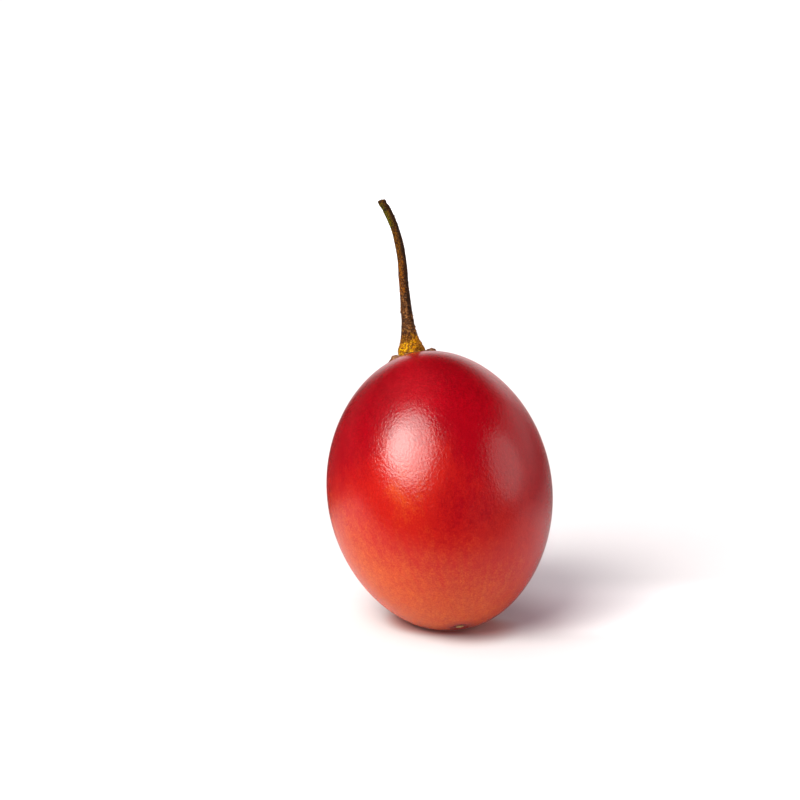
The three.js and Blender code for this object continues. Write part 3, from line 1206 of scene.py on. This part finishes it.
@dataclass
class Stalk:
    """The woody stalk: a flared foot on the calyx, a long slow curve and a cut tip.

    Attributes:
        form: the berry's form.
        finish: the bark's finish.
        tip_radius: its radius near the tip.
        swell, swell_fade: the slow thickening towards the calyx.
        flare, flare_fade: the sudden flare just above the calyx.
        foot: where the bark starts above the skin.
        length: from the skin to the tip.
        knuckle, knuckle_from: the thickening on the left of the cut end, and where it starts.
        skew, skew_fade: how far the foot is drawn over to the +X side.
        straight: how far up the foot its sides stop flaring out any more.
        tip_dome: how far from the tip its edge starts to round over.
        slant, slant_from: how much further the cut end reaches on the left than in the middle, and where
            the bark starts to be drawn out for it.
        ridge: how deep its wrinkles are.
        wrinkles, wrinkle_stretch: their pattern, and how far it is drawn out along the stalk.
        knobs, knob_span: the pattern of the knobs, and how much of it stands out.
        knobs_to: where they have grown low.
        waver: how its outline wavers.
        sink_fade: how far up its foot is bent down to follow the skin.
        foot_area: the square of the distance from the axis past which it isn't bent any further.
        specks: the seed of its raised specks.
        speck_gap, speck_density: how close they stand on the foot, and how many there are on a square metre.
        speck_thin, speck_thin_from: how much rarer they are further up, and where that sets in.
        speck_end: where they end.
        speck_small, speck_large: the half sizes of the smallest and the largest.
        sides, rings: how finely it is made.
        route: the points that it passes, in the crown's axes.
        route_steps: how finely the curve through them is followed.
    """

    form: BerryForm
    finish: BarkFinish
    tip_radius: float = 0.84 * MM
    swell: float = 0.9 * MM
    swell_fade: float = 11 * MM
    flare: float = 3.1 * MM
    flare_fade: float = 2.6 * MM
    foot: float = 0.25 * MM
    length: float = 36.7 * MM
    knuckle: float = 0.2 * MM
    knuckle_from: Span = (34.9 * MM, 36.0 * MM)
    skew: float = 0.35 * MM
    skew_fade: float = 2.6 * MM
    straight: float = 2.2 * MM
    tip_dome: float = 0.3 * MM
    slant: float = 0.45 * MM
    slant_from: Span = (34.9 * MM, 36.7 * MM)
    ridge: float = 0.18 * MM
    wrinkles: Layer = Layer(2.6, 4.0, 0.6)
    wrinkle_stretch: float = 130.0
    knobs: Layer = Layer(620.0, 2.0)
    knob_span: Span = (0.56, 0.74)
    knobs_to: Span = (6 * MM, 22 * MM)
    waver: Layer = Layer(210.0, 1.0)
    sink_fade: float = 6 * MM
    foot_area: float = 5e-5
    sides: int = 72
    rings: int = 420
    specks: int = 4
    speck_gap: float = 0.3 * MM
    speck_density: float = 6.0e6
    speck_thin: float = 0.86
    speck_thin_from: Span = (3 * MM, 14 * MM)
    speck_end: Span = (33 * MM, 35 * MM)
    speck_small: tuple[float, float, float] = (0.10 * MM, 0.10 * MM, 0.05 * MM)
    speck_large: tuple[float, float, float] = (0.27 * MM, 0.22 * MM, 0.15 * MM)
    route: tuple[tuple[float, float, float], ...] = (
        (0, 0, 0.25), (0, 0, 1.8), (0.75, -0.2, 7.6), (2.05, -1, 17.2),
        (2.95, -1.7, 23.6), (2.88, -2.8, 30), (1.5, -4.15, 36.35),
    )
    route_steps: int = 40

    def build(self) -> None:
        """Grows the bark along the route, then its specks on the bark, and hands both to the frame."""
        material = self.finish.material()
        bark = self.grow_bark(material).run("stalk_bark", self.route_mesh())
        keep(bark, Slot.BARK, "stalk")
        specks = self.grow_specks(self.finish.speck_material()).run("stalk_specks", bark.data.copy())
        keep(specks, Slot.BARK)

    def route_mesh(self) -> bpy.types.Mesh:
        """Makes the route as a line of edges in the frame.

        Returns:
            The mesh of the line.
        """
        mesh = bpy.data.meshes.new("stalk_route")
        points = [self.form.crown @ (Vector(point) * MM) for point in self.route]
        mesh.from_pydata(points, [(i, i + 1) for i in range(len(points) - 1)], [])
        return mesh

    def grow_bark(self, material: bpy.types.Material) -> Growth:
        """Writes the tree that sweeps a wrinkled round section along the route.

        Args:
            material: the bark's material.

        Returns:
            The tree, ready to run.
        """
        growth = Growth("stalk_bark")
        tree = growth.tree
        node = tree.node
        tip_radius, swell, swell_fade, flare, flare_fade, foot, length = growth.sizes(
            self, "tip_radius", "swell", "swell_fade", "flare", "flare_fade", "foot", "length"
        )
        knuckle, skew, skew_fade, straight, tip_dome, slant, ridge, sink_fade, sides, rings = growth.sizes(
            self, "knuckle", "skew", "skew_fade", "straight", "tip_dome", "slant", "ridge", "sink_fade",
            "sides", "rings",
        )
        ends = [self.form.crown @ (Vector(point) * MM) for point in self.route[-2:]]
        tip_way = growth.size("Tip way", (ends[1] - ends[0]).normalized())
        skin_radius = growth.size("Skin radius", self.form.pole_radius)
        crown_place = growth.size("Crown place", self.form.crown.to_translation())
        crown_axis = growth.size("Crown axis", self.form.crown.col[2].to_3d())

        line = node("GeometryNodeMeshToCurve", inputs={"Mesh": growth.entry.outputs["Geometry"]})
        line = node("GeometryNodeCurveSplineType", {"spline_type": "CATMULL_ROM"}, {0: line.outputs[0]})
        inputs = {"Geometry": line.outputs[0], "Resolution": self.route_steps}
        line = node("GeometryNodeSetSplineResolution", inputs=inputs)
        line = node("GeometryNodeResampleCurve", inputs={"Curve": line.outputs[0], "Count": rings})
        along = Value(tree, node("GeometryNodeSplineParameter").outputs["Length"]) + foot
        line = growth.carry(line.outputs[0], Mark.ALONG, along)
        flared = tree.larger(along, straight)
        radius = tip_radius + swell * tree.fade(along / swell_fade) + flare * tree.fade(flared / flare_fade)
        past = tree.larger(1.0 - (length - along) / tip_dome, 0.0)
        radius = radius * tree.root(1.0 - 0.55 * past * past * past)

        section = node("GeometryNodeCurvePrimitiveCircle", inputs={"Resolution": sides, "Radius": 1.0})
        x, y, _ = tree.parts(node("GeometryNodeInputPosition").outputs[0])
        section = growth.carry(section.outputs[0], Mark.AROUND, tree.math("ARCTAN2", y, x))
        inputs = {"Curve": line, "Profile Curve": section, "Scale": radius, "Fill Caps": True}
        tube = node("GeometryNodeCurveToMesh", inputs=inputs)

        place = node("GeometryNodeInputPosition").outputs[0]
        normal = node("GeometryNodeInputNormal").outputs[0]
        tube = growth.carry(tube.outputs[0], Mark.SIDE, tree.parts(normal)[0])
        along, around, side = (growth.carried(mark) for mark in (Mark.ALONG, Mark.AROUND, Mark.SIDE))
        turn = tree.math("COSINE", around), tree.math("SINE", around)
        wrinkles = tree.swing(tree.vector(*turn, along * self.wrinkle_stretch), self.wrinkles)
        knobs = tree.noise(place, self.knobs).rise(*self.knob_span) * (1.3 - along.rise(*self.knobs_to))
        waver = tree.swing(place, self.waver)
        rough = ridge * (wrinkles * 2.0 + knobs + waver) * (1.0 - (length - along).rise(0.6 * MM, 0.0))
        near_tip = along.rise(*self.knuckle_from) * (length - along).rise(-0.2 * MM, 0.4 * MM)
        skewed = skew * tree.fade(tree.larger(along, straight) / skew_fade)
        height = rough + knuckle * near_tip * -side + skewed * side
        raised = tree.scaled(normal, height)
        cut = tree.scaled(tip_way, slant * along.rise(*self.slant_from) * -side)
        raised = tree.vector_math("ADD", raised, cut)
        from_crown = tree.vector_math("SUBTRACT", place, crown_place)
        above = tree.measure("DOT_PRODUCT", from_crown, crown_axis)
        reach = tree.measure("LENGTH", from_crown)
        apart = tree.math("MINIMUM", tree.larger(reach * reach - above * above, 0.0), self.foot_area)
        drop = skin_radius - tree.root(skin_radius * skin_radius - apart)
        sunk = tree.scaled(crown_axis, -(drop * (1.0 - (along / sink_fade).rise(0.0, 1.0))))
        off = tree.vector_math("ADD", raised, sunk)
        bark = node("GeometryNodeSetPosition", inputs={"Geometry": tube, "Offset": off})
        growth.finish(bark.outputs[0], material)
        return growth

    def grow_specks(self, material: bpy.types.Material) -> Growth:
        """Writes the tree that sets small raised specks on the bark, most of them on the flared foot.

        Args:
            material: the bark's material.

        Returns:
            The tree, ready to run on the bark's mesh.
        """
        growth = Growth("stalk_specks")
        tree = growth.tree
        node = tree.node
        seed = growth.size("Seed", self.specks)
        along = growth.carried(Mark.ALONG)
        density = 1.0 - self.speck_thin * along.rise(*self.speck_thin_from)
        density = density * (1.0 - along.rise(*self.speck_end))
        spread = node(
            "GeometryNodeDistributePointsOnFaces",
            {"distribute_method": "POISSON"},
            {
                "Mesh": growth.entry.outputs["Geometry"],
                "Distance Min": self.speck_gap,
                "Density Max": self.speck_density,
                "Density Factor": density,
                "Seed": seed,
            },
        )
        speck = node("GeometryNodeMeshIcoSphere", inputs={"Radius": 1.0, "Subdivisions": 1})
        size = node(
            "FunctionNodeRandomValue",
            {"data_type": "FLOAT_VECTOR"},
            {"Min": self.speck_small, "Max": self.speck_large, "Seed": seed},
        )
        placed = node(
            "GeometryNodeInstanceOnPoints",
            inputs={
                "Points": spread.outputs["Points"],
                "Instance": speck.outputs[0],
                "Rotation": spread.outputs["Rotation"],
                "Scale": size.outputs["Value"],
            },
        )
        growth.finish(placed.outputs[0], material)
        return growth


@dataclass(frozen=True)
class FloorFinish:
    """White paper with a painted contact shadow close round the berry's foot, where the shadow is deepest,
    reddened by painted light bounced from the berry.

    Places are metres on the floor. A pair is where a change starts and where it is full.

    Attributes:
        paper: the paper's colour to the camera.
        paper_for_light: its colour to everything else.
        painted_shadow, painted_red_shadow, painted_grey_shadow: the painted contact shadow at the sides, in
        the middle, where painted bounce light reddens it, and at the front.
        glow_near, glow_far: its own light round the berry and far off.
        mirrored: its colour in the skin's gloss.
        mirrored_glow: how much of its own light the gloss shows.
        foot_left: how far left of the origin the painted shadow is centred.
        painted_shadow_fade: how far from there the painted shadow fades out.
        front_at: the middle of the second painted shadow, in front of the foot.
        front_squeeze: what distances from its middle are multiplied by across, in front and behind.
        front_fade: how far from its middle it fades out.
        red_at: the middle and the reach of the painted red bounce light across.
        grey_from: how far in front the grey painted shadow starts.
        painted_open_light: how much lighter the paper is on the open side, to the right of the berry:
            painted light.
        open_across, open_before: where that side starts, across and in front.
        open_behind: where it ends, behind.
        far_from: where the floor's own light sets in.
    """

    paper: Colour = (0.60, 0.60, 0.60)
    paper_for_light: Colour = (0.78, 0.78, 0.78)
    painted_shadow: Colour = (0.50, 0.26, 0.23)
    painted_red_shadow: Colour = (0.47, 0.06, 0.03)
    painted_grey_shadow: Colour = (0.39, 0.27, 0.26)
    glow_near: Colour = (0.02, 0.02, 0.02)
    glow_far: Colour = (0.8, 0.8, 0.8)
    mirrored: Colour = (0.38, 0.38, 0.38)
    mirrored_glow: float = 0.4
    foot_left: float = 1.5 * MM
    painted_shadow_fade: Span = (7.5 * MM, 12.8 * MM)
    front_at: Span = (4.5 * MM, -4.0 * MM)
    front_squeeze: tuple[float, float, float] = (0.8, 0.6, 1.6)
    front_fade: Span = (3 * MM, 10 * MM)
    red_at: Span = (0.5 * MM, 7 * MM)
    grey_from: Span = (8 * MM, 12 * MM)
    painted_open_light: float = 0.18
    open_across: Span = (14 * MM, 30 * MM)
    open_before: Span = (-13 * MM, -7 * MM)
    open_behind: Span = (15 * MM, 30 * MM)
    far_from: Span = (0.09, 0.6)

    def material(self) -> bpy.types.Material:
        """Writes the material from Object coordinates.

        Returns:
            The material.
        """
        material, tree = new_material("white_floor")
        x, y, _ = tree.parts(tree.place())
        near_x = x + self.foot_left
        around = tree.root(near_x * near_x + y * y)
        rays = tree.node("ShaderNodeLightPath").outputs
        # Painted shadow: the paper round the berry's foot is darkened, and reddened as if by light bounced
        # from the berry.
        unshadowed = self.unshadowed(tree, x, y, around)
        seen = tree.colour_mix(unshadowed, self.painted_shadow_colour(tree, x, y), self.paper_with_painted_light(tree, x, y))
        lit = tree.colour_mix(rays["Is Camera Ray"], self.paper_for_light, seen)
        glow = tree.colour_mix(around.rise(*self.far_from), self.glow_near, self.glow_far)
        gleam = self.gleam(tree, x, y)
        glossy = rays["Is Glossy Ray"]
        tree.surface({
            "Base Color": tree.colour_mix(glossy, lit, tree.scaled(self.mirrored, gleam)),
            "Roughness": 0.9,
            "Specular IOR Level": 0.0,
            "Emission Color": tree.colour_mix(glossy, glow, tree.scaled(glow, self.mirrored_glow * gleam)),
            "Emission Strength": 1.0,
        })
        return material

    def unshadowed(self, tree: Tree, x: Value, y: Value, around: Value) -> Value:
        """Gives the share of paper outside the painted contact shadow at a place.

        Args:
            tree: the material's tree.
            x: the place across.
            y: the place along.
            around: its distance from the berry's foot.

        Returns:
            The share.
        """
        across, before, behind = self.front_squeeze
        from_x, from_y = (x - self.front_at[0]) * across, y - self.front_at[1]
        from_y = tree.larger(from_y * before, from_y * behind)
        from_front = tree.root(from_x * from_x + from_y * from_y)
        return around.rise(*self.painted_shadow_fade) * from_front.rise(*self.front_fade)

    def painted_shadow_colour(self, tree: Tree, x: Value, y: Value) -> bpy.types.NodeSocket:
        """Gives the painted contact shadow's colour at a place."""
        sides = tree.colour_mix(x.peak(*self.red_at), self.painted_shadow, self.painted_red_shadow)
        return tree.colour_mix((-y).rise(*self.grey_from), sides, self.painted_grey_shadow)

    def paper_with_painted_light(self, tree: Tree, x: Value, y: Value) -> bpy.types.NodeSocket:
        """Gives the paper's colour outside the painted shadow, lighter on the open side by painted light."""
        # Painted light: the paper to the right of the berry is made lighter, thinning its shadow there.
        share = x.rise(*self.open_across) * y.rise(*self.open_before) * (1.0 - y.rise(*self.open_behind))
        return tree.scaled(self.paper, 1.0 + self.painted_open_light * share)

    def gleam(self, tree: Tree, x: Value, y: Value) -> Value:
        """Gives how bright a place is in the skin's gloss.

        Args:
            tree: the material's tree.
            x: the place across.
            y: the place along.

        Returns:
            The brightness, full behind the berry and dim in front of it and to both sides.
        """
        aside = x / (tree.larger(y, 0.0) + 0.02)
        dim_left = (-aside).rise(0.18, 0.32) * y.rise(0.03, 0.08)
        dim_right = aside.rise(0.2, 0.4) * (0.5 * y.rise(0.04, 0.1) + 0.3 * y.rise(0.1, 0.3))
        return y.rise(-0.13, 0.01) * (1.0 - 0.95 * dim_left) * (1.0 - dim_right)


@dataclass(frozen=True)
class Lamp:
    """A soft oval light that faces the berry.

    Attributes:
        name: the light's name.
        towards: the direction from the berry to the light.
        size: its width and its height.
        radiance: how bright its face is.
        roll: how far it is turned about its own axis, in degrees.
        in_gloss: whether it shows as a gleam on the skin.
        tint: its colour.
    """

    name: str
    towards: tuple[float, float, float]
    size: Span
    radiance: float
    roll: float = 0.0
    in_gloss: bool = True
    tint: Colour = (1.0, 0.985, 0.94)

    def hang(self, middle: Vector, distance: float) -> None:
        """Hangs the light.

        Args:
            middle: what it faces.
            distance: how far from there it hangs.
        """
        data = bpy.data.lights.new(self.name, "AREA")
        data.shape = "ELLIPSE"
        data.size, data.size_y = self.size
        data.energy = self.radiance * math.pi * (math.pi / 4 * data.size * data.size_y)
        data.color = self.tint
        light = bpy.data.objects.new(self.name, data)
        out = Vector(self.towards).normalized()
        light.location = middle + out * distance
        roll = Matrix.Rotation(math.radians(self.roll), 3, "Z")
        light.rotation_euler = (out.to_track_quat("Z", "Y").to_matrix() @ roll).to_euler()
        light.visible_camera = False
        light.visible_glossy = self.in_gloss
        bpy.context.scene.collection.objects.link(light)


@dataclass
class Studio:
    """The pale floor, the soft lights and the camera.

    Attributes:
        form: the berry's form, which the camera and the lights are set around.
        elevation: how far above the horizon the camera looks from.
        distance: from the camera to the berry's middle.
        lens, sensor: the camera's focal length and its sensor's width, in millimetres.
        clip: the nearest and the farthest that the camera sees.
        aim_left, aim_up: how far left of and above the berry's middle the picture's middle lies.
        light_distance: from the berry's middle to each light.
        lamps: the lights.
        floor_size: how wide the floor is, and how far it reaches behind the berry.
        floor_front: how far it reaches in front.
        room_tint, room_strength: the light that the room throws on everything.
        seen_strength: how bright the room is to the camera.
    """

    form: BerryForm
    elevation: float = math.radians(14)
    distance: float = 0.56
    lens: float = 118.5
    sensor: float = 36.0
    clip: Span = (0.01, 20.0)
    aim_left: float = 8.4 * MM
    aim_up: float = 19.1 * MM
    light_distance: float = 0.9
    lamps: tuple[Lamp, ...] = (
        Lamp("key", (-0.496, -0.434, 0.770), (0.75, 0.88), 7.3, roll=25),
        Lamp("key_heart", (-0.598, -0.360, 0.722), (0.38, 0.49), 7.2, roll=20),
        Lamp("side", (0.888, -0.114, 0.446), (0.60, 0.62), 1.25),
        Lamp("side_far", (0.968, 0.183, 0.376), (1.30, 0.66), 0.25),
        Lamp("fill", (0.80, -0.58, 0.08), (0.9, 0.9), 1.8, in_gloss=False),
        Lamp("top", (-0.35, 0.45, 0.82), (0.9, 0.9), 2.3, in_gloss=False),
    )
    floor_size: float = 5.0
    floor_front: float = 0.14
    room_tint: Colour = (1.0, 0.72, 0.93)
    room_strength: float = 0.34
    seen_strength: float = 1.2

    def build(self) -> None:
        """Sets up the floor, the world, the lights and the camera."""
        self.lay_floor()
        self.light_world()
        for lamp in self.lamps:
            lamp.hang(self.form.centre, self.light_distance)
        self.set_camera()

    def lay_floor(self) -> None:
        """Lays a wide floor just under the berry."""
        side, back, front = self.floor_size / 2, self.floor_size, -self.floor_front
        mesh = bpy.data.meshes.new("floor")
        corners = [(-side, front, 0), (side, front, 0), (side, back, 0), (-side, back, 0)]
        mesh.from_pydata(corners, [], [(0, 1, 2, 3)])
        mesh.materials.append(FloorFinish().material())
        new_piece("floor", mesh)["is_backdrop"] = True

    def light_world(self) -> None:
        """Makes the surroundings bright behind the berry and dim over it and in front of it."""
        world = bpy.data.worlds.new("studio")
        world.use_nodes = True
        bpy.context.scene.world = world
        tree = Tree(world.node_tree)
        x, y, z = tree.parts(tree.node("ShaderNodeTexCoord").outputs["Generated"])
        raised = z - 0.3 * tree.larger(x, 0.0)
        behind = (1.0 - raised.rise(0.10, 0.45)) * y.rise(-0.1, 0.2)
        low = 1.0 - z.rise(0.08, 0.25)
        dim_right = (1.0 - 0.7 * x.rise(0.42, 0.6)) * (1.0 - 0.55 * x.rise(0.22, 0.4) * low)
        dim_left = (1.0 - 0.85 * (-x).rise(0.2, 0.45)) * (1.0 - 0.9 * (-x).rise(0.2, 0.34) * low)
        glow = 0.003 + 0.95 * behind * dim_right * dim_left
        room, gleam, seen = (
            tree.node("ShaderNodeBackground", inputs={"Color": colour, "Strength": strength}).outputs[0]
            for colour, strength in (
                ((*self.room_tint, 1.0), self.room_strength),
                (tree.scaled((1.0, 1.0, 1.0), glow), 1.0),
                ((1.0, 1.0, 1.0, 1.0), self.seen_strength),
            )
        )
        rays = tree.node("ShaderNodeLightPath").outputs
        unseen = tree.node("ShaderNodeMixShader", inputs={0: rays["Is Glossy Ray"], 1: room, 2: gleam})
        inputs = {0: rays["Is Camera Ray"], 1: unseen.outputs[0], 2: seen}
        both = tree.node("ShaderNodeMixShader", inputs=inputs)
        tree.node("ShaderNodeOutputWorld", inputs={"Surface": both.outputs[0]})

    def set_camera(self) -> None:
        """Sets the camera in front of the berry, looking a little down at it."""
        data = bpy.data.cameras.new("camera")
        data.lens = self.lens
        data.sensor_width = self.sensor
        data.clip_start, data.clip_end = self.clip
        camera = bpy.data.objects.new("camera", data)
        back = Vector((0.0, -math.cos(self.elevation), math.sin(self.elevation)))
        up = Vector((0.0, math.sin(self.elevation), math.cos(self.elevation)))
        aim = self.form.centre + Vector((-self.aim_left, 0, 0)) + up * self.aim_up
        camera.location = aim + back * self.distance
        camera.rotation_euler = Euler((math.pi / 2 - self.elevation, 0.0, 0.0))
        bpy.context.scene.collection.objects.link(camera)
        bpy.context.scene.camera = camera


def write_sizes() -> None:
    """Gathers the CAD model's box and the dressed model's box side by side."""
    boxes = {"cad": cad_box, "visual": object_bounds()}
    plain = {name: [list(low), list(high)] for name, (low, high) in boxes.items()}


def main() -> None:
    """Builds the fruit's pieces in order, then the studio around them."""
    logging.basicConfig(level=logging.INFO, format="%(name)s: %(message)s")
    bpy.context.scene.view_settings.view_transform = "Standard"
    form = BerryForm()
    dried_leaf = DriedLeafFinish().material()
    dried_scar = DriedLeafFinish(
        name="dried_scar", olive=(0.44, 0.28, 0.11), vein=(0.26, 0.13, 0.05), dark=(0.07, 0.035, 0.015)
    ).material()
    Berry(form, SkinFinish()).build()
    BlossomScar(form, dried_scar).build()
    Calyx(form, dried_leaf).build()
    Stalk(form, BarkFinish()).build()
    Studio(form).build()
    write_sizes()


if __name__ == "__main__":
    main()
